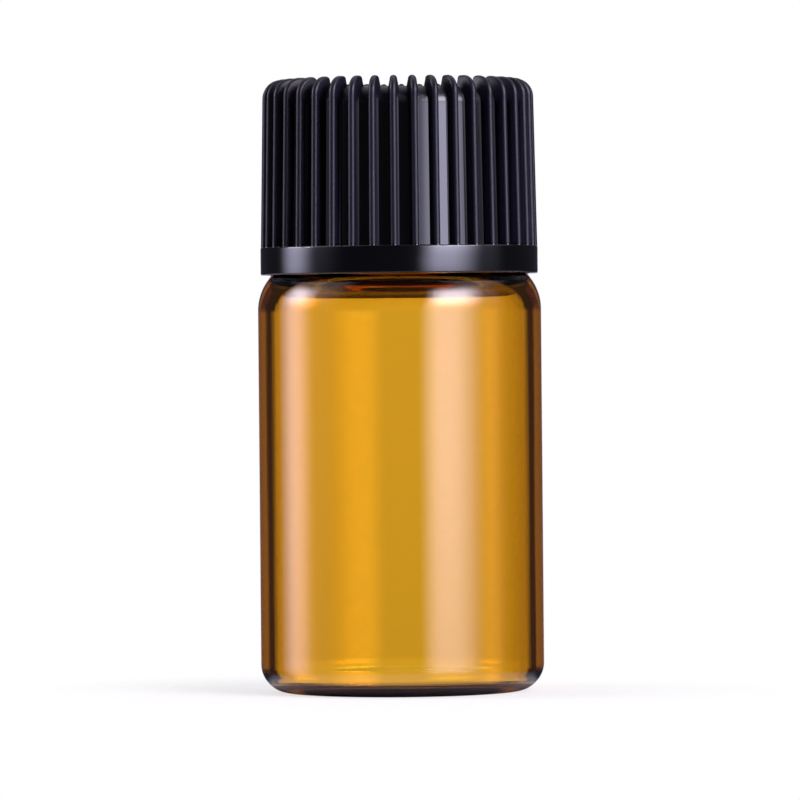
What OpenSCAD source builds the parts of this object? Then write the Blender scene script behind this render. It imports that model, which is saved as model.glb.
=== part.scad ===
// Small amber glass sample vial with a black ribbed screw cap.
// All sizes are in millimetres. The origin is the middle of the base and +Z is up.

/* [Glass body] */
// Outside diameter of the glass body
body_d = 16.2; // [14:0.1:20]
// Height above the table at which the straight glass wall ends
wall_h = 21.8; // [12:0.1:50]
// Thickness of the glass side wall
wall_t = 0.9; // [0.6:0.05:1.2]
// Thickness of the glass floor at its edge
floor_t = 1.1; // [0.7:0.05:2]
// Radius of the outside heel between wall and base
heel_r = 1.6; // [0.8:0.05:2]
// Radius of the inside corner between wall and floor
floor_corner_r = 1.2; // [0.6:0.05:1.8]
// Height by which the inner floor rises towards its middle
floor_rise = 0.35; // [0.1:0.05:0.6]
// Depth of the shallow hollow under the base
punt_depth = 0.35; // [0.1:0.05:0.6]
// Width of the flat ring that the vial stands on
base_ring_w = 1.9; // [1:0.1:2.5]

/* [Glass shoulder and neck] */
// Outside radius of the rounded shoulder
shoulder_r = 3; // [2.6:0.05:3.4]
// Inside radius of the rounded shoulder
shoulder_in_r = 2.2; // [1.8:0.05:2.4]
// Distance by which the neck stands in from the body wall
shoulder_w = 2.45; // [2.4:0.05:2.6]
// Thickness of the neck wall between the thread ridges
neck_t = 1.45; // [1.3:0.05:2]
// Radius of the fillet between neck and shoulder
neck_fillet = 0.5; // [0.2:0.05:0.8]
// Radius of the rounded inner edge where the shoulder meets the bore
throat_r = 0.8; // [0.4:0.05:1]
// Radius of the rounded outer edge of the rim
rim_r = 0.4; // [0.1:0.05:0.6]

/* [Screw thread] */
// Rise of the thread in one turn
thread_pitch = 2.117; // [2:0.001:2.3]
// Height of the neck ridges over the neck wall
ridge_h = 0.75; // [0.6:0.05:0.8]
// Width of a neck ridge where it leaves the glass
neck_ridge_w = 1.2; // [0.9:0.05:1.3]
// Width of a cap ridge where it leaves the cap wall
cap_ridge_w = 1.05; // [0.8:0.05:1.15]
// Width of both ridges at their crest
crest_w = 0.42; // [0.3:0.02:0.5]
// Angle at which the thread of the neck starts, seen from above
thread_start = 25; // [10:5:80]
// Distance from the glass rim down to the first ridge
rim_to_thread = 1; // [0.6:0.05:1.5]
// Distance from the shoulder up to the last ridge
shoulder_to_thread = 1.3; // [1:0.05:1.8]
// Distance from the lower edge of the cap up to its first ridge
skirt_to_thread = 1.9; // [1.6:0.05:2.4]
// Distance from the liner down to the last ridge of the cap
liner_to_thread = 1.3; // [0.8:0.05:1.6]
// Least gap between the ridges on the side that pulls the cap down
thread_bearing_gap = 0.2; // [0.15:0.01:0.25]
// Radial gap between a ridge and the wall that it runs along
thread_gap = 0.25; // [0.2:0.01:0.3]

/* [Orifice reducer] */
// Thickness of the flange that rests on the glass rim
flange_t = 0.65; // [0.4:0.05:1]
// Distance by which the flange stands in from the neck wall
flange_inset = 0.35; // [0.2:0.05:0.8]
// Depth of the skirt inside the neck
plug_depth = 4.7; // [3:0.1:6]
// Thickness of the skirt wall
plug_wall = 0.65; // [0.5:0.05:0.9]
// Width of the ring round the hollow in the top of the reducer, inside the bore
well_ring_w = 1.2; // [1:0.05:1.4]
// Depth of the hollow in the top of the reducer
well_depth = 1.7; // [1:0.05:2.2]
// Thickness of the web at the bottom of the hollow
web_t = 0.6; // [0.4:0.05:0.8]
// Diameter of the dripping nozzle
nozzle_d = 2.4; // [2:0.1:2.8]
// Diameter of the hole through the nozzle
drip_d = 1; // [0.6:0.05:1.2]
// Diameter of the air vent beside the nozzle
vent_d = 0.6; // [0.5:0.05:0.8]

/* [Cap] */
// Height of the cap from its lower edge to the tops of its ribs
cap_h = 11.15; // [10.4:0.05:13]
// Thickness of the flat top of the cap
cap_top_t = 1.1; // [0.7:0.05:1.4]
// Thickness of the wall between the ribs, at its thinnest
cap_wall_t = 0.5; // [0.4:0.05:0.8]
// Outward lean of the wall and ribs towards the lower edge
cap_draft = 0.16; // [0.04:0.02:0.2]
// Radius of the rounded top edge of the wall
cap_edge_r = 0.9; // [0.7:0.05:0.9]
// Height of the plain band below the ribs
band_h = 1.6; // [1:0.05:2.2]
// Distance by which the band stands out past the ribs
band_step = 0.02; // [0.02:0.01:0.2]
// Radius of the rounded edges of the band
band_edge_r = 0.1; // [0.05:0.01:0.15]
// Width of the lower edge under the band
lip_w = 0.43; // [0.35:0.01:0.6]
// Gap between the lower edge of the cap and the glass shoulder
skirt_gap = 0.23; // [0.2:0.01:0.8]
// Thickness of the sealing disc in the cap
liner_t = 0.75; // [0.5:0.05:1]
// Radial gap round the sealing disc
liner_gap = 0.2; // [0.1:0.05:0.3]

/* [Ribs] */
// Number of ribs round the cap
rib_count = 40; // [30:1:48]
// Depth of a rib from its crest to the wall
rib_depth = 0.6; // [0.45:0.05:0.8]
// Width of a rib at the wall
rib_root_w = 0.56; // [0.5:0.02:0.6]
// Radius of the rounded crest of a rib
rib_nose_r = 0.2; // [0.15:0.01:0.22]
// Radius of the bend of a rib over the top edge
rib_bend_r = 1.05; // [0.9:0.05:1.2]
// Length of the flat run of a rib over the top
rib_flat = 0.25; // [0.2:0.01:0.4]
// Height of the rib tops above the flat top of the cap
rib_rise = 0.6; // [0.4:0.05:0.7]
// Radius of the rounded inner corner of a rib top
rib_inner_r = 0.2; // [0.12:0.02:0.2]
// Turn of the rib pattern, so that one rib stands just left of the front
rib_phase = -2; // [-4.5:0.1:4.5]

/* [Hidden] */
$fn = 96;
tiny = 0.01;
over = 0.2;
ridge_chamfer = 0.1;
ridge_steps = 48;
ridge_lead = 40;
ridge_start = 0.3;

body_r = body_d / 2;
neck_r = body_r - shoulder_w;
bore_r = neck_r - neck_t;
punt_r = body_r - heel_r - base_ring_w;
flange_r = neck_r - flange_inset;
well_r = bore_r - well_ring_w;
vent_offset = (nozzle_d / 2 + well_r) / 2;

// Glass shoulder: a round of shoulder_r whose middle lies shoulder_r inside the wall
shoulder_x = body_r - shoulder_r;
shoulder_top = wall_h + shoulder_r;
fillet_x = neck_r + neck_fillet;
fillet_reach = shoulder_r + neck_fillet;
fillet_out = max(0, fillet_x - shoulder_x);
fillet_z = wall_h + sqrt(pow(fillet_reach, 2) - pow(fillet_out, 2));
cavity_r = body_r - wall_t;
cavity_x = cavity_r - shoulder_in_r;
cavity_wall_top = wall_h - (shoulder_r - shoulder_in_r) / 2;
cavity_top = cavity_wall_top + shoulder_in_r;

// Cap wall: each radius is worked out from the thread inwards or outwards
ridge_r = neck_r + ridge_h;
cap_bore_r = ridge_r + thread_gap;
cap_ridge_r = neck_r + thread_gap;
core_top_r = cap_bore_r + cap_wall_t;
core_foot_r = core_top_r + cap_draft;
crest_top_r = core_top_r + rib_depth;
crest_foot_r = core_foot_r + rib_depth;
band_r = crest_foot_r + band_step;
lip_r = band_r - lip_w;

// Heights: the skirt clears the shoulder, and the rim follows from the height of the cap
lip_out = max(0, lip_r - shoulder_x);
cap_z = wall_h + sqrt(pow(shoulder_r, 2) - pow(lip_out, 2)) + skirt_gap;
rib_top_z = cap_z + cap_h;
cap_top_z = rib_top_z - rib_rise;
cap_ceiling_z = cap_top_z - cap_top_t;
liner_z = cap_ceiling_z - liner_t;
rim_z = liner_z - flange_t;
band_top_z = cap_z + band_h;
relief_z = shoulder_top + thread_gap;

// Thread: the neck ridge fills the neck between its two distances, the cap ridge its skirt
neck_ridge_z0 = shoulder_top + shoulder_to_thread;
neck_ridge_z1 = rim_z - rim_to_thread - neck_ridge_w / 2;
cap_ridge_z0 = cap_z + skirt_to_thread;
cap_ridge_z1 = liner_z - liner_to_thread;
neck_ridge_ref = neck_ridge_z0 - thread_pitch * thread_start / 360;
flank_sum = (neck_ridge_w + cap_ridge_w + 2 * crest_w) / 4;
cap_ridge_ref = neck_ridge_ref - flank_sum - thread_bearing_gap;

// Rib: middle of the bend over the top edge, inner end, and middle of the small inner corner
bend_x = crest_top_r - rib_bend_r;
bend_z = rib_top_z - rib_bend_r;
rib_in_x = bend_x - rib_flat;
corner_x = rib_in_x + rib_inner_r;
corner_z = rib_top_z - rib_inner_r;
rib_lean = atan(cap_draft / (bend_z - band_top_z));
flank_slope = (rib_root_w / 2 - rib_nose_r) / (rib_depth - rib_nose_r);

// Colours
amber = [0.72, 0.42, 0.08, 0.6];
natural = [0.88, 0.88, 0.84];
white = [0.95, 0.95, 0.93];
black = [0.05, 0.05, 0.06];

// Section of a thread ridge, from its root to its crest, counterclockwise in radius and height
function ridge_section(root_r, crest_r, root_w) =
    let (
        side = crest_r > root_r ? 1 : -1,
        points = [
            [root_r, -root_w / 2],
            [crest_r - side * ridge_chamfer, -crest_w / 2 - ridge_chamfer / 2],
            [crest_r, -crest_w / 2 + ridge_chamfer / 2],
            [crest_r, crest_w / 2 - ridge_chamfer / 2],
            [crest_r - side * ridge_chamfer, crest_w / 2 + ridge_chamfer / 2],
            [root_r, root_w / 2]
        ]
    )
    side > 0 ? points : [for (i = [len(points) - 1 : -1 : 0]) points[i]];

// Share of the full ridge height at an angle from either end
function ridge_share(from_start, from_end) =
    min(1, ridge_start + (1 - ridge_start) * min(from_start, from_end) / ridge_lead);

// One ridge wound round the axis: its middle is at height z_ref at angle 0
module thread_ridge(wall_r, crest_r, root_w, z_ref, z_from, z_to) {
    side = crest_r > wall_r ? 1 : -1;
    root_r = wall_r - side * over;
    angle_from = (z_from - z_ref) / thread_pitch * 360;
    angle_to = (z_to - z_ref) / thread_pitch * 360;
    rings = ceil((angle_to - angle_from) / 360 * ridge_steps);
    step = (angle_to - angle_from) / rings;
    points = [
        for (i = [0 : rings])
            let (
                angle = angle_from + i * step,
                share = ridge_share(i * step, (rings - i) * step),
                top_r = wall_r + (crest_r - wall_r) * share
            )
            for (p = ridge_section(root_r, top_r, root_w))
                [p[0] * cos(angle), p[0] * sin(angle), p[1] + z_ref + angle / 360 * thread_pitch]
    ];
    count = len(ridge_section(root_r, crest_r, root_w));
    sides = [
        for (i = [0 : rings - 1], j = [0 : count - 1])
            let (
                k = (j + 1) % count,
                a = i * count + j,
                b = i * count + k,
                c = (i + 1) * count + k,
                d = (i + 1) * count + j
            )
            for (f = [[a, b, c], [a, c, d]]) f
    ];
    first = [for (j = [count - 1 : -1 : 0]) j];
    last = [for (j = [0 : count - 1]) rings * count + j];
    polyhedron(points = points, faces = concat(sides, [first, last]));
}

// Outer outline of the glass, from the axis outwards
module glass_outline() {
    square([body_r - heel_r, wall_h]);
    translate([0, heel_r]) square([body_r, wall_h - heel_r]);
    translate([body_r - heel_r, heel_r]) circle(heel_r);
    intersection() {
        translate([shoulder_x, wall_h]) circle(shoulder_r);
        translate([0, wall_h - heel_r]) square([body_r, 2 * shoulder_r]);
    }
    translate([0, wall_h]) square([shoulder_x, shoulder_r]);
    neck_outline();
}

// Neck with its fillet to the shoulder and its rounded rim
module neck_outline() {
    square([neck_r, rim_z - rim_r]);
    square([neck_r - rim_r, rim_z]);
    translate([neck_r - rim_r, rim_z - rim_r]) circle(rim_r);
    touch = shoulder_r / fillet_reach;
    touch_x = fillet_x - fillet_out * (1 - touch);
    touch_z = wall_h + (fillet_z - wall_h) * touch;
    difference() {
        polygon([
            [neck_r - over, wall_h],
            [neck_r - over, fillet_z],
            [fillet_x, fillet_z],
            [touch_x, touch_z],
            [touch_x - over, wall_h]
        ]);
        translate([fillet_x, fillet_z]) circle(neck_fillet);
    }
}

// Space inside the glass
module cavity_outline() {
    difference() {
        union() {
            translate([0, floor_t]) square([cavity_r - floor_corner_r, floor_corner_r]);
            translate([cavity_r - floor_corner_r, floor_t + floor_corner_r]) circle(floor_corner_r);
            translate([0, floor_t + floor_corner_r])
                square([cavity_r, cavity_wall_top - floor_t - floor_corner_r]);
        }
        dome(cavity_r - floor_corner_r, floor_rise, floor_t);
    }
    intersection() {
        translate([cavity_x, cavity_wall_top]) circle(shoulder_in_r);
        translate([0, cavity_wall_top - tiny]) square([cavity_r, 2 * shoulder_in_r]);
    }
    translate([0, cavity_wall_top - tiny]) square([cavity_x, shoulder_in_r + tiny]);
    square_top = cavity_top + throat_r;
    difference() {
        translate([0, cavity_top - tiny]) square([bore_r + throat_r, throat_r + tiny]);
        translate([bore_r + throat_r, square_top]) circle(throat_r);
    }
    translate([0, square_top - tiny]) square([bore_r, rim_z - square_top + over]);
}

// Segment of a large round that rises by rise over the half width half_w
module dome(half_w, rise, z) {
    round_r = (pow(half_w, 2) + pow(rise, 2)) / (2 * rise);
    intersection() {
        translate([0, z + rise - round_r]) circle(round_r, $fn = 360);
        translate([0, z - tiny]) square([half_w, rise + 2 * tiny]);
    }
}

module vial() {
    color(amber) {
        rotate_extrude()
            difference() {
                glass_outline();
                cavity_outline();
                dome(punt_r, punt_depth, 0);
            }
        thread_ridge(neck_r, ridge_r, neck_ridge_w, neck_ridge_ref, neck_ridge_z0, neck_ridge_z1);
    }
}

// Plug that lets the liquid out in drops: flange on the rim, skirt in the bore
module orifice_reducer() {
    well_floor = rim_z + flange_t - well_depth;
    web_under = well_floor - web_t;
    color(natural)
        difference() {
            union() {
                translate([0, 0, rim_z]) cylinder(r = flange_r, h = flange_t);
                translate([0, 0, rim_z - plug_depth]) cylinder(r = bore_r, h = plug_depth);
            }
            translate([0, 0, rim_z - plug_depth - tiny])
                cylinder(r = bore_r - plug_wall, h = web_under - rim_z + plug_depth + tiny);
            difference() {
                translate([0, 0, well_floor]) cylinder(r = well_r, h = well_depth + tiny);
                translate([0, 0, well_floor - tiny])
                    cylinder(d1 = nozzle_d, d2 = nozzle_d * 0.8, h = well_depth - flange_t / 2);
            }
            translate([0, 0, web_under - tiny]) cylinder(d = drip_d, h = well_depth + web_t + over);
            translate([vent_offset, 0, web_under - tiny]) cylinder(d = vent_d, h = web_t + over);
        }
}

module cap_liner() {
    color(white)
        translate([0, 0, liner_z]) cylinder(r = cap_bore_r - liner_gap, h = liner_t);
}

// Wall, top and band of the cap without its ribs
module cap_shell_outline() {
    polygon([
        [0, cap_z + band_edge_r],
        [band_r, cap_z + band_edge_r],
        [band_r, band_top_z - band_edge_r],
        [band_r - band_edge_r, band_top_z],
        [core_foot_r, band_top_z],
        [core_top_r, cap_top_z - cap_edge_r],
        [0, cap_top_z - cap_edge_r]
    ]);
    translate([band_r - band_edge_r, band_top_z - band_edge_r]) circle(band_edge_r);
    translate([0, cap_z]) square([band_r - band_edge_r, band_edge_r]);
    translate([band_r - band_edge_r, cap_z + band_edge_r]) circle(band_edge_r);
    translate([0, cap_top_z - cap_edge_r]) square([core_top_r - cap_edge_r, cap_edge_r]);
    translate([core_top_r - cap_edge_r, cap_top_z - cap_edge_r]) circle(cap_edge_r);
}

// Space inside the cap, widened at its mouth to clear the shoulder
module cap_space_outline() {
    polygon([
        [0, cap_z - over],
        [lip_r + over, cap_z - over],
        [lip_r, cap_z],
        [cap_bore_r, relief_z],
        [cap_bore_r, cap_ceiling_z],
        [0, cap_ceiling_z]
    ]);
}

// Section of a rib: its rounded crest lies at x = 0 and it widens towards the wall
module rib_section(depth) {
    root_w = 2 * (rib_nose_r + flank_slope * (depth - rib_nose_r));
    translate([-rib_nose_r, 0]) circle(rib_nose_r, $fn = 32);
    polygon([
        [-rib_nose_r, -rib_nose_r],
        [-rib_nose_r, rib_nose_r],
        [-depth, root_w / 2],
        [-depth, -root_w / 2]
    ]);
}

// One rib: a straight run up the wall, a bend over the top edge and a short flat run inwards
module rib() {
    translate([bend_x, 0, bend_z]) {
        rotate([0, -rib_lean, 0])
            translate([rib_bend_r, 0, band_top_z - bend_z - over])
                linear_extrude(bend_z - band_top_z + over) rib_section(rib_depth + over);
        rotate([90, -rib_lean, 0])
            rotate_extrude(angle = 90 - rib_lean)
                translate([rib_bend_r, 0]) rib_section(rib_bend_r - tiny);
        translate([0, 0, rib_bend_r])
            rotate([0, -90, 0])
                linear_extrude(rib_flat + over / 2) rib_section(rib_rise + over);
    }
}

// Ring that rounds the inner corners of all rib tops at once
module rib_corner_cutter() {
    rotate_extrude()
        difference() {
            translate([rib_in_x - over, cap_top_z]) square([rib_inner_r + over, rib_rise + over]);
            translate([corner_x, corner_z]) circle(rib_inner_r);
            translate([rib_in_x, cap_top_z - tiny]) square([rib_inner_r + tiny, rib_rise - rib_inner_r + tiny]);
        }
}

module cap() {
    color(black) {
        difference() {
            union() {
                rotate_extrude() cap_shell_outline();
                for (i = [0 : rib_count - 1])
                    rotate([0, 0, -90 + rib_phase + i * 360 / rib_count]) rib();
            }
            rotate_extrude() cap_space_outline();
            rib_corner_cutter();
        }
        thread_ridge(cap_bore_r, cap_ridge_r, cap_ridge_w, cap_ridge_ref, cap_ridge_z0, cap_ridge_z1);
    }
}

vial();
orifice_reducer();
cap_liner();
cap();
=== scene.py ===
"""Small amber glass sample vial with a ribbed black screw cap, on a pale table in a studio."""

import logging
import math
from dataclasses import dataclass, field
from enum import Enum

import bpy
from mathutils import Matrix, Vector


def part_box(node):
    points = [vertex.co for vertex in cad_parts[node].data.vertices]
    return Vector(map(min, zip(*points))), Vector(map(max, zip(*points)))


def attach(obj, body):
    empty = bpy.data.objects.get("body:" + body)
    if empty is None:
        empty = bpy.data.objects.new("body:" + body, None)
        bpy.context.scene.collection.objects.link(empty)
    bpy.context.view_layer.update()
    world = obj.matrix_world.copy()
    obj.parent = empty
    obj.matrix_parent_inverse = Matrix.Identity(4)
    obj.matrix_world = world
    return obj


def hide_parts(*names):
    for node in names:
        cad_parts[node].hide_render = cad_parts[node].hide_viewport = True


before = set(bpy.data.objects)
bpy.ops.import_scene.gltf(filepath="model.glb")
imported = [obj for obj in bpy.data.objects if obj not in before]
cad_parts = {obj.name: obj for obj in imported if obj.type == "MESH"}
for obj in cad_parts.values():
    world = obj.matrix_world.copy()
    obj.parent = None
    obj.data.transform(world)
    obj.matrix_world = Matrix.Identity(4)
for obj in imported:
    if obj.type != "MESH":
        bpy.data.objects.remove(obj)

log = logging.getLogger("vial")

MM = 0.001
WELD = 0.0005 * MM
NOISE_MIDDLE = 0.5
WHITE = (1.0, 1.0, 1.0)

Point = tuple[float, float]
Colour = tuple[float, float, float]
Step = tuple[float, float]
Window = tuple[float, float, float, float]


# ---------------------------------------------------------------- shader maths


class Operation(Enum):
    """What a Math node does, in Blender's own words."""

    ADD = "ADD"
    SUBTRACT = "SUBTRACT"
    MULTIPLY = "MULTIPLY"
    POWER = "POWER"
    ABSOLUTE = "ABSOLUTE"
    MAXIMUM = "MAXIMUM"
    ARCTAN2 = "ARCTAN2"


class Value:
    """A number that changes over a surface, so that shader maths reads as an expression."""

    def __init__(self, graph: "Graph", socket: bpy.types.NodeSocket) -> None:
        """Wraps one output socket of a graph.

        Args:
            graph: the graph that the socket is in.
            socket: the output that carries the number.
        """
        self.graph = graph
        self.socket = socket

    def _math(self, operation: Operation, *terms: "Value | float") -> "Value":
        """Adds one Math node.

        Args:
            operation: what the node does.
            terms: the numbers or values that go into it, in order.

        Returns:
            The node's result.
        """
        return self.graph.value("ShaderNodeMath", {"operation": operation.value},
                                dict(enumerate(terms)))

    def __add__(self, other: "Value | float") -> "Value":
        """Sum of two values."""
        return self._math(Operation.ADD, self, other)

    def __radd__(self, other: float) -> "Value":
        """Sum, with the number on the left."""
        return self._math(Operation.ADD, other, self)

    def __sub__(self, other: "Value | float") -> "Value":
        """Difference of two values."""
        return self._math(Operation.SUBTRACT, self, other)

    def __rsub__(self, other: float) -> "Value":
        """Difference, with the number on the left."""
        return self._math(Operation.SUBTRACT, other, self)

    def __mul__(self, other: "Value | float") -> "Value":
        """Product of two values."""
        return self._math(Operation.MULTIPLY, self, other)

    def __rmul__(self, other: float) -> "Value":
        """Product, with the number on the left."""
        return self._math(Operation.MULTIPLY, other, self)

    def __pow__(self, other: float) -> "Value":
        """Value raised to a fixed power."""
        return self._math(Operation.POWER, self, other)

    def __neg__(self) -> "Value":
        """Value with its sign turned."""
        return self._math(Operation.MULTIPLY, self, -1.0)

    def size(self) -> "Value":
        """Value without its sign."""
        return self._math(Operation.ABSOLUTE, self)

    def most(self, other: "Value | float") -> "Value":
        """The larger of two values."""
        return self._math(Operation.MAXIMUM, self, other)

    def angle_from(self, other: "Value") -> "Value":
        """Angle in radians of the direction with this value across and the other along."""
        return self._math(Operation.ARCTAN2, self, other)

    def length_with(self, other: "Value") -> "Value":
        """Length of the line that has this value and the other as its two legs."""
        return (self * self + other * other) ** 0.5

    def ramp(self, low: float, high: float) -> "Value":
        """Soft step from 0 to 1.

        Args:
            low: value at which the step starts.
            high: value at which it is complete.

        Returns:
            0 below low, 1 above high, and a smooth curve between.
        """
        inputs = {"Value": self, "From Min": low, "From Max": high}
        return self.graph.value("ShaderNodeMapRange", {"interpolation_type": "SMOOTHSTEP"},
                                inputs, "Result")

    def hill(self, low: float, rise: float, fall: float, high: float) -> "Value":
        """Soft-edged window: up from low to rise, and down from fall to high."""
        return self.ramp(low, rise) * (1 - self.ramp(fall, high))


@dataclass(frozen=True)
class Rays:
    """What kind of ray sees a point, each 1 or 0.

    The first is a ray straight from the camera, the second one that a surface mirrored, the
    third one that came through clear glass, and the last one that was mirrored inside glass.
    """

    camera: Value
    glossy: Value
    through: Value
    inside: Value


class Graph:
    """The nodes of one material or of the world."""

    def __init__(self, tree: bpy.types.NodeTree) -> None:
        """Empties a node tree and starts on it.

        Args:
            tree: the node tree to fill.
        """
        self.tree = tree
        tree.nodes.clear()

    def node(self, kind: str, settings: dict[str, object] | None = None,
             inputs: dict[str | int, object] | None = None) -> bpy.types.Node:
        """Adds one node.

        Args:
            kind: Blender's name of the node's type.
            settings: the node's own properties.
            inputs: what goes into its sockets, by name or number: a number, a colour, a value
                or a socket.

        Returns:
            The new node.
        """
        node = self.tree.nodes.new(kind)
        for name, setting in (settings or {}).items():
            setattr(node, name, setting)
        for key, term in (inputs or {}).items():
            term = getattr(term, "socket", term)
            if isinstance(term, bpy.types.NodeSocket):
                self.tree.links.new(term, node.inputs[key])
            else:
                node.inputs[key].default_value = term
        return node

    def value(self, kind: str, settings: dict[str, object] | None = None,
              inputs: dict[str | int, object] | None = None, output: str | int = 0) -> Value:
        """Adds a node and wraps one of its outputs.

        Args:
            kind: Blender's name of the node's type.
            settings: the node's own properties.
            inputs: what goes into its sockets.
            output: name or number of the wanted output.

        Returns:
            The wrapped output.
        """
        return Value(self, self.node(kind, settings, inputs).outputs[output])

    def join(self, source: bpy.types.Node, target: bpy.types.Node, name: str = "Surface") -> None:
        """Links a node's first output to a named socket of another node."""
        self.tree.links.new(source.outputs[0], target.inputs[name])

    def blend(self, factor: Value, first: Colour | Value, second: Colour | Value) -> Value:
        """Mixes two colours.

        Args:
            factor: 0 gives the first colour, 1 the second.
            first: colour or value.
            second: colour or value.

        Returns:
            The mixed colour.
        """
        inputs = {0: factor, 6: self.rgba(first), 7: self.rgba(second)}
        return self.value("ShaderNodeMix", {"data_type": "RGBA"}, inputs, output=2)

    @staticmethod
    def rgba(colour: Colour | Value) -> tuple[float, float, float, float] | Value:
        """Gives a plain colour its fourth number, and leaves a value alone."""
        return colour if isinstance(colour, Value) else (*colour, 1.0)

    def mix(self, factor: Value, first: bpy.types.Node, second: bpy.types.Node) -> bpy.types.Node:
        """Mixes two shaders, the first at factor 0 and the second at factor 1."""
        inputs = {0: factor, 1: first.outputs[0], 2: second.outputs[0]}
        return self.node("ShaderNodeMixShader", None, inputs)

    def split(self, vector: bpy.types.NodeSocket) -> tuple[Value, Value, Value]:
        """Splits a vector into its x, y and z."""
        parts = self.node("ShaderNodeSeparateXYZ", None, {0: vector})
        return tuple(Value(self, output) for output in parts.outputs)

    def place(self) -> bpy.types.NodeSocket:
        """Object coordinates, in metres."""
        return self.node("ShaderNodeTexCoord").outputs["Object"]

    def rays(self) -> Rays:
        """Tells the kinds of rays apart.

        Returns:
            The kinds, each as a value of 1 or 0.
        """
        path = self.node("ShaderNodeLightPath")
        camera, glossy, transmitted, bounces = (
            Value(self, path.outputs[name]) for name in
            ("Is Camera Ray", "Is Glossy Ray", "Is Transmission Ray", "Glossy Depth"))
        mirrored = bounces.ramp(0.0, 1.0)
        return Rays(camera, glossy, transmitted * (1 - mirrored), transmitted * mirrored)

    def noise(self, place: bpy.types.NodeSocket, size: float, detail: float = 2.0,
              stretch: Colour = (1, 1, 1)) -> Value:
        """Cloudy pattern.

        Args:
            place: coordinates that it follows.
            size: width of one cloud in metres.
            detail: number of finer layers.
            stretch: how much finer the pattern is along each axis.

        Returns:
            A value round 0.5.
        """
        scaled = self.node("ShaderNodeMapping", None, {"Vector": place, "Scale": stretch})
        inputs = {"Vector": scaled.outputs[0], "Scale": 1 / size, "Detail": detail}
        return self.value("ShaderNodeTexNoise", None, inputs)

    def bump(self, height: Value, depth: float) -> Value:
        """Bump from a height pattern.

        Args:
            height: the pattern, from 0 to 1.
            depth: height in metres between 0 and 1.

        Returns:
            The normal.
        """
        return self.value("ShaderNodeBump", None,
                          {"Height": height, "Distance": depth, "Strength": 1.0})


# ---------------------------------------------------------------- finishes


@dataclass(frozen=True)
class Finish:
    """A surface finish: one procedural material."""

    name: str

    def material(self) -> bpy.types.Material:
        """Makes the material.

        Returns:
            The finished material.
        """
        material = bpy.data.materials.new(self.name)
        material.use_nodes = True
        graph = Graph(material.node_tree)
        self.fill(graph, graph.node("ShaderNodeOutputMaterial"))
        return material

    def fill(self, graph: Graph, out: bpy.types.Node) -> None:
        """Builds the nodes.

        Args:
            graph: the material's nodes.
            out: the material's output node.
        """
        raise NotImplementedError


@dataclass(frozen=True)
class AmberGlass(Finish):
    """Clear amber glass, polished by the flame, with faint drawing lines along the tube."""

    name: str = "amber_glass"
    ior: float = 1.5
    absorb_density: float = 2500.0
    absorb_colour: Colour = (0.931, 0.775, 0.07)
    line_width: float = 0.5 * MM
    line_stretch: float = 0.04
    line_share: float = 0.6
    line_depth: float = 0.004 * MM
    ripple_width: float = 1.5 * MM

    def fill(self, graph: Graph, out: bpy.types.Node) -> None:
        """Builds a clear surface and the amber in its volume.

        Args:
            graph: the material's nodes.
            out: the material's output node.
        """
        place = graph.place()
        lines = graph.noise(place, self.line_width, 1.0, (1, 1, self.line_stretch))
        ripple = graph.noise(place, self.ripple_width, 1.0)
        waves = lines * self.line_share + ripple * (1 - self.line_share)
        surface = graph.node("ShaderNodeBsdfPrincipled", None, {
            "Base Color": graph.rgba(WHITE),
            "Roughness": 0.0,
            "IOR": self.ior,
            "Transmission Weight": 1.0,
            "Normal": graph.bump(waves, self.line_depth),
        })
        volume = graph.node("ShaderNodeVolumeAbsorption", None, {
            "Color": graph.rgba(self.absorb_colour),
            "Density": self.absorb_density,
        })
        graph.join(surface, out)
        graph.join(volume, out, "Volume")


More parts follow.
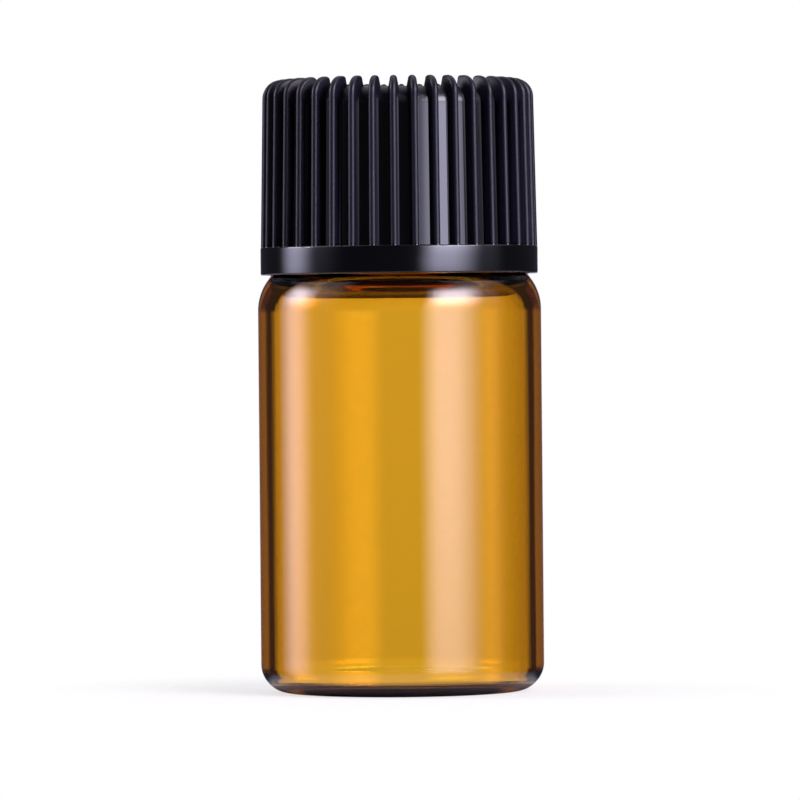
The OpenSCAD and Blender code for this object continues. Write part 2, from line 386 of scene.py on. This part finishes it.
@dataclass(frozen=True)
class BlackPlastic(Finish):
    """Moulded black plastic: smooth gloss on wall and band, fine matte grain on the rib crests."""

    name: str = "black_plastic"
    colour: Colour = (0.0008, 0.0008, 0.0011)
    crest_colour: Colour = (0.003, 0.0025, 0.008)
    wall_ior: float = 1.6
    crest_ior: float = 1.36
    wall_roughness: float = 0.08
    wall_clouding: float = 0.04
    band_roughness: float = 0.06
    crest_roughness: float = 0.42
    crest_clouding: float = 0.1
    cloud: float = 1.4 * MM
    core_r: float = 7.3 * MM
    crest_r: float = 7.6 * MM
    band_low: float = 23.83 * MM
    band_high: float = 25.43 * MM
    band_edge: float = 0.1 * MM
    band_bulge: float = 0.03 * MM
    top_z: float = 33.3 * MM
    top_rise: float = 0.6 * MM
    grain: float = 0.14 * MM
    grain_depth: float = 0.01 * MM

    def fill(self, graph: Graph, out: bpy.types.Node) -> None:
        """Builds gloss and grain, told apart by height and by distance from the axis.

        Args:
            graph: the material's nodes.
            out: the material's output node.
        """
        place = graph.place()
        x, y, z = graph.split(place)
        band = 1 - z.ramp(self.band_high, self.band_high + self.band_edge)
        ribs = x.length_with(y).ramp(self.core_r, self.crest_r) * (1 - band)
        crest = ribs.most(z.ramp(self.top_z, self.top_z + self.top_rise))
        middle = (self.band_low + self.band_high) / 2
        across = (z - middle) * (2 / (self.band_high - self.band_low))
        bulge = (1 - across * across) * band * (self.band_bulge / self.grain_depth)
        grain = graph.noise(place, self.grain, 3.0)
        cloud = graph.noise(place, self.cloud) - NOISE_MIDDLE
        normal = graph.bump(grain * crest + bulge, self.grain_depth)
        wall_roughness = self.wall_roughness + band * self.band_roughness
        gloss = graph.node("ShaderNodeBsdfPrincipled", None, {
            "Base Color": graph.rgba(self.colour),
            "Roughness": wall_roughness + cloud * self.wall_clouding,
            "IOR": self.wall_ior,
            "Normal": normal,
        })
        matte = graph.node("ShaderNodeBsdfPrincipled", None, {
            "Base Color": graph.rgba(self.crest_colour),
            "Roughness": self.crest_roughness + cloud * self.crest_clouding,
            "IOR": self.crest_ior,
            "Normal": normal,
        })
        graph.join(graph.mix(crest, gloss, matte), out)


@dataclass(frozen=True)
class NaturalPlastic(Finish):
    """Milky natural polyethylene, smooth and slightly translucent."""

    name: str = "natural_plastic"
    colour: Colour = (0.6, 0.61, 0.59)
    cloudy_colour: Colour = (0.52, 0.54, 0.53)
    cloud: float = 1.6 * MM
    skin: float = 0.12 * MM
    skin_depth: float = 0.002 * MM
    roughness: float = 0.38
    skin_roughness: float = 0.12
    ior: float = 1.51
    milkiness: float = 0.35
    light_reach: float = 0.5 * MM
    reach_by_colour: Colour = (1.0, 0.95, 0.85)

    def fill(self, graph: Graph, out: bpy.types.Node) -> None:
        """Builds soft milky shading with faint flow clouds.

        Args:
            graph: the material's nodes.
            out: the material's output node.
        """
        place = graph.place()
        cloud = graph.noise(place, self.cloud, 3.0)
        skin = graph.noise(place, self.skin)
        surface = graph.node("ShaderNodeBsdfPrincipled", None, {
            "Base Color": graph.blend(cloud, self.colour, self.cloudy_colour),
            "Roughness": self.roughness + (skin - NOISE_MIDDLE) * self.skin_roughness,
            "IOR": self.ior,
            "Subsurface Weight": self.milkiness,
            "Subsurface Radius": self.reach_by_colour,
            "Subsurface Scale": self.light_reach,
            "Normal": graph.bump(skin, self.skin_depth),
        })
        graph.join(surface, out)


@dataclass(frozen=True)
class FoamedLiner(Finish):
    """Soft white foamed liner with a fine matte skin."""

    name: str = "white_liner"
    colour: Colour = (0.86, 0.86, 0.84)
    shaded_colour: Colour = (0.76, 0.76, 0.74)
    cell: float = 0.18 * MM
    cell_depth: float = 0.008 * MM
    cloud: float = 1.1 * MM
    roughness: float = 0.62
    clouding: float = 0.2

    def fill(self, graph: Graph, out: bpy.types.Node) -> None:
        """Builds fine cells under a matte skin.

        Args:
            graph: the material's nodes.
            out: the material's output node.
        """
        place = graph.place()
        cells = graph.value("ShaderNodeTexVoronoi", None, {"Vector": place, "Scale": 1 / self.cell})
        cloud = graph.noise(place, self.cloud)
        surface = graph.node("ShaderNodeBsdfPrincipled", None, {
            "Base Color": graph.blend(cloud, self.colour, self.shaded_colour),
            "Roughness": self.roughness + (cloud - NOISE_MIDDLE) * self.clouding,
            "Normal": graph.bump(cells, self.cell_depth),
        })
        graph.join(surface, out)


# ---------------------------------------------------------------- modelling


def arc(centre: Point, radius: float, start: float, end: float, steps: int) -> list[Point]:
    """Points along a round.

    Args:
        centre: its middle, as radius and height.
        radius: its radius.
        start: angle of the first point in degrees, 0 outwards and 90 upwards.
        end: angle of the last point.
        steps: number of pieces that it is cut into.

    Returns:
        The points from start to end.
    """
    angles = [math.radians(start + (end - start) * i / steps) for i in range(steps + 1)]
    return [(centre[0] + radius * math.cos(a), centre[1] + radius * math.sin(a)) for a in angles]


def crown(half_width: float, rise: float, foot: float, steps: int) -> list[Point]:
    """Points of a low dome.

    Args:
        half_width: radius of its edge.
        rise: height of its middle over its edge.
        foot: height of its edge.
        steps: number of pieces that it is cut into.

    Returns:
        The points from its middle to its edge.
    """
    radius = (half_width ** 2 + rise ** 2) / (2 * rise)
    widths = [half_width * i / steps for i in range(steps + 1)]
    return [(w, foot + rise - radius + math.sqrt(radius ** 2 - w ** 2)) for w in widths]


def rounded(corners: list[tuple[float, float, float]], steps: int = 4) -> list[Point]:
    """Rounds the corners of an outline.

    Args:
        corners: radius, height and rounding of each corner, all in the same unit.
        steps: number of pieces in each rounding.

    Returns:
        The outline's points in order. A corner with no rounding stays sharp.
    """
    points: list[Point] = []
    count = len(corners)
    for i, (x, z, r) in enumerate(corners):
        if r == 0:
            points.append((x, z))
            continue
        here = Vector((x, z))
        before = (Vector(corners[i - 1][:2]) - here).normalized()
        after = (Vector(corners[(i + 1) % count][:2]) - here).normalized()
        half = before.angle(after) / 2
        reach = r / math.tan(half)
        middle = here + (before + after).normalized() * (r / math.sin(half))
        first, last = here + before * reach - middle, here + after * reach - middle
        for k in range(steps + 1):
            spoke = first.lerp(last, k / steps).normalized() * r
            points.append(tuple(middle + spoke))
    return points


def select_only(piece: bpy.types.Object) -> None:
    """Selects one piece and makes it the active one.

    Args:
        piece: the piece that the next operators act on.
    """
    bpy.ops.object.select_all(action="DESELECT")
    piece.select_set(True)
    bpy.context.view_layer.objects.active = piece


def turn_outline(name: str, outline: list[Point], steps: int,
                 closed: bool = False) -> bpy.types.Object:
    """Turns an outline round the axis, as on a lathe.

    Args:
        name: name of the piece.
        outline: radius and height of each point, in metres.
        steps: number of steps in the full turn.
        closed: True joins the last point to the first one.

    Returns:
        The turned piece, with its faces outwards.
    """
    bpy.ops.object.select_all(action="DESELECT")
    bpy.ops.mesh.primitive_plane_add(size=MM, location=(0, 0, 0))
    piece = bpy.context.object
    piece.name = piece.data.name = name
    bpy.ops.object.mode_set(mode="EDIT")
    bpy.ops.mesh.select_all(action="SELECT")
    bpy.ops.mesh.merge(type="CENTER")
    bpy.ops.transform.translate(value=(outline[0][0], 0, outline[0][1]))
    path = outline + outline[:1] if closed else outline
    for before, after in zip(path, path[1:]):
        step = (after[0] - before[0], 0, after[1] - before[1])
        bpy.ops.mesh.extrude_vertices_move(TRANSFORM_OT_translate={"value": step})
    bpy.ops.mesh.select_all(action="SELECT")
    bpy.ops.mesh.spin(steps=steps, angle=math.tau, center=(0, 0, 0), axis=(0, 0, 1))
    bpy.ops.mesh.select_all(action="SELECT")
    bpy.ops.mesh.remove_doubles(threshold=WELD)
    bpy.ops.mesh.normals_make_consistent(inside=False)
    bpy.ops.object.mode_set(mode="OBJECT")
    return piece


# ---------------------------------------------------------------- pieces


@dataclass
class Part:
    """A piece of the object: where it rides, what it stands for and its finish.

    Lengths are in metres and angles in degrees, here and in each piece.
    """

    name: str
    node: str
    body: str
    slot: str
    finish: Finish
    round_steps: int
    crease: float

    def outline_box(self) -> tuple[Vector, Vector]:
        """Lowest and highest corner of the frame's node at rest, in metres."""
        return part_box(self.node)

    def build(self) -> bpy.types.Object:
        """Models the piece.

        Returns:
            The finished mesh object.
        """
        raise NotImplementedError

    def fit(self) -> bpy.types.Object:
        """Models the piece, dresses it and sets it on its body in place of its node.

        Edges sharper than the piece's crease stay crisp.

        Returns:
            The finished piece.
        """
        piece = self.build()
        select_only(piece)
        bpy.ops.object.shade_smooth_by_angle(angle=math.radians(self.crease))
        piece.data.materials.clear()
        piece.data.materials.append(self.finish.material())
        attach(piece, self.body)
        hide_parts(self.node)
        log.info("%s: %d faces", piece.name, len(piece.data.polygons))
        return piece


@dataclass
class GlassVial(Part):
    """Blown from one tube: heel, hollow base, straight wall, round shoulder and threaded neck."""

    name: str = "glass_vial"
    node: str = "vial"
    body: str = "root"
    slot: str = "amber_glass"
    finish: Finish = field(default_factory=AmberGlass)
    round_steps: int = 320
    crease: float = 60.0
    wall: float = 0.9 * MM
    floor: float = 0.75 * MM
    heel_r: float = 1.6 * MM
    corner_r: float = 0.4 * MM
    floor_rise: float = 0.35 * MM
    punt_r: float = 4.6 * MM
    punt_depth: float = 0.35 * MM
    wall_top: float = 21.8 * MM
    shoulder_r: float = 3.0 * MM
    shoulder_in_r: float = 2.1 * MM
    inner_top: float = 21.68 * MM
    neck_r: float = 5.65 * MM
    bore_r: float = 4.2 * MM
    fillet_r: float = 0.5 * MM
    throat_r: float = 0.8 * MM
    rim_r: float = 0.4 * MM
    pitch: float = 2.117 * MM
    ridge_r: float = 6.4 * MM
    ridge_w: float = 1.2 * MM
    crest_w: float = 0.42 * MM
    ridge_low: float = 26.1 * MM
    ridge_high: float = 30.28 * MM
    ridge_start: float = 25.0
    ridge_lead: float = 40.0
    neck_tolerance: float = 0.01 * MM
    dome_steps: int = 16
    heel_steps: int = 24
    corner_steps: int = 20
    shoulder_steps: int = 28
    shoulder_in_steps: int = 24
    throat_steps: int = 10
    edge_steps: int = 8
    neck_rows: int = 64

    def outer_line(self, body_r: float, rim_z: float) -> list[Point]:
        """Outer line of the glass.

        Args:
            body_r: radius of the body.
            rim_z: height of the rim.

        Returns:
            The points from the middle of the base to the rim.
        """
        shoulder = (body_r - self.shoulder_r, self.wall_top)
        fillet_x = self.neck_r + self.fillet_r
        reach = self.shoulder_r + self.fillet_r
        fillet_z = self.wall_top + math.sqrt(reach ** 2 - (fillet_x - shoulder[0]) ** 2)
        touch = math.degrees(math.atan2(fillet_z - shoulder[1], fillet_x - shoulder[0]))
        neck_top = rim_z - self.rim_r
        neck_h = neck_top - fillet_z
        rows = [fillet_z + neck_h * i / self.neck_rows for i in range(1, self.neck_rows)]
        return [
            *crown(self.punt_r, self.punt_depth, 0, self.dome_steps),
            *arc((body_r - self.heel_r, self.heel_r), self.heel_r, -90, 0, self.heel_steps),
            *arc(shoulder, self.shoulder_r, 0, touch, self.shoulder_steps),
            *arc((fillet_x, fillet_z), self.fillet_r, touch - 180, -180, self.edge_steps)[1:],
            *[(self.neck_r, z) for z in rows],
            *arc((self.neck_r - self.rim_r, neck_top), self.rim_r, 0, 90, self.edge_steps),
        ]

    def inner_line(self, body_r: float, rim_z: float) -> list[Point]:
        """Inner line of the glass.

        Args:
            body_r: radius of the body.
            rim_z: height of the rim.

        Returns:
            The points from the rim down to the middle of the floor.
        """
        inner_r = body_r - self.wall
        shoulder = (inner_r - self.shoulder_in_r, self.inner_top)
        throat = (self.bore_r + self.throat_r,
                  self.inner_top + self.shoulder_in_r + self.throat_r)
        corner = (inner_r - self.corner_r, self.floor + self.corner_r)
        dome = crown(corner[0], self.floor_rise, self.floor, self.dome_steps)
        return [
            (self.bore_r, rim_z),
            *arc(throat, self.throat_r, 180, 270, self.throat_steps),
            *arc(shoulder, self.shoulder_in_r, 90, 0, self.shoulder_in_steps)[1:],
            *arc(corner, self.corner_r, 0, -90, self.corner_steps),
            *dome[-2::-1],
        ]

    def ridge_height(self, angle: float, z: float) -> float:
        """Height of the thread above the neck.

        Args:
            angle: angle round the axis in degrees.
            z: height above the table.

        Returns:
            The height in metres, 0 between the turns.
        """
        first = self.ridge_start
        last = first + (self.ridge_high - self.ridge_low) / self.pitch * 360
        best = 0.0
        for turn in range(math.ceil(last / 360) + 1):
            along = angle + 360 * turn
            share = min(along - first, last - along) / self.ridge_lead
            middle = self.ridge_low + (along - first) / 360 * self.pitch
            flank = (self.ridge_w / 2 - abs(z - middle)) / ((self.ridge_w - self.crest_w) / 2)
            rise = max(0.0, min(1.0, share)) ** 0.5
            slope = max(0.0, min(1.0, flank))
            best = max(best, rise * slope * slope * (3 - 2 * slope))
        return best * (self.ridge_r - self.neck_r)

    def build(self) -> bpy.types.Object:
        """Turns the glass and draws the thread out of its neck.

        Returns:
            The glass.
        """
        top = self.outline_box()[1]
        outline = self.outer_line(top.x, top.z) + self.inner_line(top.x, top.z)
        glass = turn_outline(self.name, outline, self.round_steps)
        for vertex in glass.data.vertices:
            place = vertex.co
            radius = math.hypot(place.x, place.y)
            on_neck = abs(radius - self.neck_r) < self.neck_tolerance
            if on_neck and place.z > self.wall_top + self.shoulder_r:
                height = self.ridge_height(math.degrees(math.atan2(place.y, place.x)), place.z)
                place.xy = place.xy * (1 + height / radius)
        return glass


@dataclass
class OrificeReducer(Part):
    """Drop-dispensing plug: flange on the rim, skirt in the bore, nozzle in a hollow, air vent."""

    name: str = "reducer_plug"
    node: str = "orifice_reducer"
    body: str = "root"
    slot: str = "natural_plastic"
    finish: Finish = field(default_factory=NaturalPlastic)
    round_steps: int = 128
    crease: float = 35.0
    flange_t: float = 0.65 * MM
    bore_r: float = 4.2 * MM
    skirt_wall: float = 0.65 * MM
    well_r: float = 3.0 * MM
    well_depth: float = 1.7 * MM
    web: float = 0.6 * MM
    nozzle_r: float = 1.2 * MM
    nozzle_top_r: float = 0.96 * MM
    nozzle_h: float = 1.365 * MM
    drip_r: float = 0.5 * MM
    vent_r: float = 0.3 * MM
    vent_offset: float = 2.1 * MM
    vent_steps: int = 32
    round_r: float = 0.12 * MM

    def outline(self) -> list[Point]:
        """Closed outline of the plug's wall, round its drop hole.

        Returns:
            The points, each as radius and height.
        """
        low, high = self.outline_box()
        rim_z = high.z - self.flange_t
        well_z = high.z - self.well_depth
        under_z = well_z - self.web
        r = self.round_r
        return rounded([
            (self.drip_r, under_z, r),
            (self.bore_r - self.skirt_wall, under_z, 2 * r),
            (self.bore_r - self.skirt_wall, low.z, r),
            (self.bore_r, low.z, 2 * r),
            (self.bore_r, rim_z, 0),
            (high.x, rim_z, r),
            (high.x, high.z, r),
            (self.well_r, high.z, r),
            (self.well_r, well_z, 2 * r),
            (self.nozzle_r, well_z, r),
            (self.nozzle_top_r, well_z + self.nozzle_h, r),
            (self.drip_r, well_z + self.nozzle_h, r),
        ])

    def build(self) -> bpy.types.Object:
        """Turns the plug and cuts its vent through.

        Returns:
            The plug.
        """
        plug = turn_outline(self.name, self.outline(), self.round_steps, closed=True)
        web_z = self.outline_box()[1].z - self.well_depth - self.web / 2
        drill_h = 3 * self.web
        bpy.ops.object.select_all(action="DESELECT")
        bpy.ops.mesh.primitive_cylinder_add(
            vertices=self.vent_steps, radius=self.vent_r, depth=drill_h,
            location=(self.vent_offset, 0, web_z))
        drill = bpy.context.object
        select_only(plug)
        cut = plug.modifiers.new("vent", "BOOLEAN")
        cut.operation = "DIFFERENCE"
        cut.solver = "EXACT"
        cut.object = drill
        bpy.ops.object.modifier_apply(modifier=cut.name)
        bpy.data.objects.remove(drill)
        return plug


@dataclass
class SealingDisc(Part):
    """Disc in the cap, pressed a little hollow where it seals on the plug."""

    name: str = "sealing_disc"
    node: str = "cap_liner"
    body: str = "liner"
    slot: str = "white_liner"
    finish: Finish = field(default_factory=FoamedLiner)
    round_steps: int = 128
    crease: float = 35.0
    edge_r: float = 0.12 * MM
    edge_steps: int = 6
    dent_in: float = 3.0 * MM
    dent_out: float = 5.3 * MM
    dent_depth: float = 0.03 * MM
    dent_slope: float = 0.12 * MM

    def build(self) -> bpy.types.Object:
        """Turns the disc, with rounded edges and the mark of the plug's flange.

        Returns:
            The disc.
        """
        low, high = self.outline_box()
        dent = low.z + self.dent_depth
        edge_x = high.x - self.edge_r
        outline = [
            (0, low.z),
            (self.dent_in - self.dent_slope, low.z),
            (self.dent_in + self.dent_slope, dent),
            (self.dent_out - self.dent_slope, dent),
            (self.dent_out + self.dent_slope, low.z),
            *arc((edge_x, low.z + self.edge_r), self.edge_r, -90, 0, self.edge_steps),
            *arc((edge_x, high.z - self.edge_r), self.edge_r, 0, 90, self.edge_steps),
            (0, high.z),
        ]
        return turn_outline(self.name, outline, self.round_steps)


@dataclass
class ScrewCap:
    """Ribbed cap: the frame's own solid, with its moulded finish."""

    node: str = "cap"
    finish: Finish = field(default_factory=BlackPlastic)

    def fit(self) -> bpy.types.Object:
        """Dresses the cap's solid.

        Returns:
            The cap.
        """
        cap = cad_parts[self.node]
        cap.data.materials.clear()
        cap.data.materials.append(self.finish.material())
        log.info("%s: %d faces", cap.name, len(cap.data.polygons))
        return cap


# ---------------------------------------------------------------- studio


@dataclass
class Camera:
    """Camera in front of the vial, at the photo's distance and tilt."""

    distance: float = 368 * MM
    height: float = 20.2 * MM
    aim_z: float = 16.65 * MM
    aim_x: float = -0.02 * MM
    roll: float = -0.51
    pixels_per_mm: float = 17.48
    frame_px: float = 800.0
    sensor: float = 36.0
    clip_near: float = 0.01
    clip_far: float = 10.0

    def build(self) -> bpy.types.Object:
        """Sets up the camera.

        Returns:
            The camera.
        """
        data = bpy.data.cameras.new("camera")
        data.sensor_width = self.sensor
        data.lens = self.pixels_per_mm * (self.distance / MM) * self.sensor / self.frame_px
        data.clip_start = self.clip_near
        data.clip_end = self.clip_far
        camera = bpy.data.objects.new("camera", data)
        bpy.context.scene.collection.objects.link(camera)
        camera.location = (self.aim_x, -self.distance, self.height)
        look = Vector((self.aim_x, 0, self.aim_z)) - camera.location
        camera.rotation_euler = look.to_track_quat("-Z", "Y").to_matrix().to_4x4().to_euler()
        camera.rotation_euler.rotate_axis("Z", math.radians(self.roll))
        bpy.context.scene.camera = camera
        return camera


class Way:
    """Direction of a ray: its three shares, and its angles in radians seen from the vial."""

    def __init__(self, graph: Graph) -> None:
        """Reads the direction.

        Args:
            graph: the world's nodes.
        """
        self.x, self.y, self.z = graph.split(graph.node("ShaderNodeTexCoord").outputs["Generated"])
        self.from_front = self.x.angle_from(-self.y)
        self.from_back = self.x.angle_from(self.y).size()
        self.over = self.z.angle_from(-self.y)


def radians(degrees: tuple[float, ...]) -> tuple[float, ...]:
    """Angles in radians."""
    return tuple(map(math.radians, degrees))


@dataclass
class SoftBoxes:
    """Two tall soft boxes at the sides of the camera.

    The windows are in degrees round the vial from its front. The steps are a ray's upward share.
    """

    light: float = 6.75
    colour: Colour = (0.77, 0.75, 1.0)
    high_colour: Colour = (0.95, 0.88, 1.0)
    colour_step: Step = (0.1, 0.4)
    right_window: Window = (13, 33, 42, 74)
    right_top: Step = (0.5, 0.74)
    right_lean: float = 0.3
    left_window: Window = (73, 95, 97, 118)
    left_top: Step = (0.42, 0.64)
    left_share: float = 0.7
    spill_window: Window = (45, 75, 80, 100)
    spill: float = 0.05
    high_step: Step = (0.03, 0.36)
    high_gain: float = 1.9
    low_step: Step = (-0.15, 0.0)
    low_loss: float = 0.4

    def glow(self, way: Way) -> Value:
        """Strength of the boxes in every direction.

        Args:
            way: direction of the ray.

        Returns:
            The strength, 0 beside the boxes.
        """
        aside = way.from_front - way.z.most(0.0) * self.right_lean
        right = aside.hill(*radians(self.right_window)) * (1 - way.z.ramp(*self.right_top))
        left = (-way.from_front).hill(*radians(self.left_window))
        left = left * (1 - way.z.ramp(*self.left_top)) * self.left_share
        spill = way.from_front.size().hill(*radians(self.spill_window)) * self.spill
        gain = way.z.ramp(*self.high_step) * self.high_gain
        loss = (1 - way.z.ramp(*self.low_step)) * self.low_loss
        return (right + left + spill) * (1 + gain - loss) * self.light

    def tint(self, graph: Graph, way: Way) -> Value:
        """Colour of the boxes, whiter towards their tops."""
        return graph.blend(way.z.ramp(*self.colour_step), self.colour, self.high_colour)


@dataclass
class Room:
    """Dim room with a strip of white wall behind the vial, white for the camera.

    The edges and the window are in degrees: those of the walls from straight behind the vial,
    that of the sky from the horizon in front. The steps are a ray's upward or sideways share.
    """

    boxes: SoftBoxes = field(default_factory=SoftBoxes)
    dark: float = 0.05
    wall_edge: Step = (4, 12)
    inner_wall_edge: Step = (24, 31)
    side_window: Window = (37, 46, 60, 80)
    inner_top: Step = (0.0, 0.15)
    inner_light: float = 0.5
    sky_edge: Step = (80, 95)
    sky_step: Step = (0.5, 0.75)
    sky_light: float = 1.3
    floor_step: Step = (-0.42, -0.2)
    floor_light: float = 0.95
    right_step: Step = (0.05, 0.32)
    right_fall: float = 0.25
    low_step: Step = (-0.08, 0.02)
    low_fall: float = 0.11

    def walls(self, way: Way, rays: Rays) -> Value:
        """Strength of the wall behind the vial and of the sky over it.

        Args:
            way: direction of the ray.
            rays: what kind of ray it is. One mirrored inside glass sees more of the wall.

        Returns:
            The strength, 0 everywhere else.
        """
        wall = 1 - way.from_back.ramp(*radians(self.wall_edge))
        wider = 1 - way.from_back.ramp(*radians(self.inner_wall_edge))
        sides = way.from_back.hill(*radians(self.side_window))
        inner = (wider + sides) * rays.inside * (1 - way.z.ramp(*self.inner_top))
        sky = way.over.ramp(*radians(self.sky_edge)) * way.z.ramp(*self.sky_step)
        return wall.most(inner * self.inner_light).most(sky * self.sky_light)

    def build(self) -> None:
        """Lights the scene: white for camera and clear glass, boxes in a dim room for the rest."""
        world = bpy.data.worlds.new("studio")
        world.use_nodes = True
        bpy.context.scene.world = world
        graph = Graph(world.node_tree)
        out = graph.node("ShaderNodeOutputWorld")
        way, rays = Way(graph), graph.rays()
        floor = 1 - way.z.ramp(*self.floor_step)
        lit = self.dark + self.boxes.glow(way) + self.walls(way, rays)
        room = lit * (1 - floor) + floor * self.floor_light
        clear = rays.camera + rays.through
        dimmer = way.x.ramp(*self.right_step) * self.right_fall
        dimmer = dimmer + (1 - way.z.ramp(*self.low_step)) * self.low_fall
        background = graph.node("ShaderNodeBackground", None, {
            "Color": graph.blend(clear, self.boxes.tint(graph, way), WHITE),
            "Strength": room * (1 - clear) + clear - rays.through * dimmer,
        })
        graph.join(background, out)


@dataclass(frozen=True)
class TableTop(Finish):
    """White top that keeps a soft shadow near the vial, and fades into the white round it."""

    name: str = "table_top"
    glow: float = 0.65
    albedo: float = 0.27
    near_in: float = 9.0 * MM
    near_out: float = 24.0 * MM
    # painted shadow: dark colour and place of the ring where the heel shades the table
    painted_shadow_colour: Colour = (0.08, 0.055, 0.08)
    painted_shadow_ring: Window = (4.8 * MM, 6.2 * MM, 6.9 * MM, 9.2 * MM)

    def fill(self, graph: Graph, out: bpy.types.Node) -> None:
        """Builds the top, with a painted dark shadow ring where the heel shades it.

        Args:
            graph: the material's nodes.
            out: the material's output node.
        """
        x, y, _ = graph.split(graph.place())
        radius = x.length_with(y)
        rays = graph.rays()
        glow = graph.node("ShaderNodeEmission", None, {
            "Color": graph.rgba(WHITE), "Strength": self.glow})
        matte = graph.node("ShaderNodeBsdfDiffuse", None, {
            "Color": (self.albedo, self.albedo, self.albedo, 1.0)})
        near = graph.node("ShaderNodeAddShader", None, {0: glow.outputs[0], 1: matte.outputs[0]})
        # painted shadow: a dark diffuse ring under the heel, seen by every ray except the camera's
        painted_shadow = graph.node("ShaderNodeBsdfDiffuse", None, {"Color": graph.rgba(self.painted_shadow_colour)})
        clear = graph.node("ShaderNodeBsdfTransparent")
        under = radius.hill(*self.painted_shadow_ring) * (1 - rays.camera)
        passing = rays.glossy * (1 - rays.through) * (1 - under)
        away = passing.most(radius.ramp(self.near_in, self.near_out))
        graph.join(graph.mix(away, graph.mix(under, near, painted_shadow), clear), out)


@dataclass
class Table:
    """Round table that the vial stands on."""

    radius: float = 1.2
    round_steps: int = 96
    finish: Finish = field(default_factory=TableTop)

    def build(self) -> bpy.types.Object:
        """Makes the table top.

        Returns:
            The table top.
        """
        bpy.ops.object.select_all(action="DESELECT")
        bpy.ops.mesh.primitive_circle_add(
            vertices=self.round_steps, radius=self.radius, fill_type="NGON", location=(0, 0, 0))
        table = bpy.context.object
        table.name = "table"
        table.data.materials.append(self.finish.material())
        return table


def main() -> None:
    """Builds the vial's pieces from the glass outwards, then the studio round them."""
    logging.basicConfig(level=logging.INFO, format="%(name)s: %(message)s")
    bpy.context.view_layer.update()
    for part in (GlassVial(), OrificeReducer(), SealingDisc(), ScrewCap()):
        part.fit()
    bpy.context.scene.view_settings.view_transform = "Standard"
    for stage in (Camera(), Room(), Table()):
        stage.build()
        log.info("%s ready", type(stage).__name__)


if __name__ == "__main__":
    main()
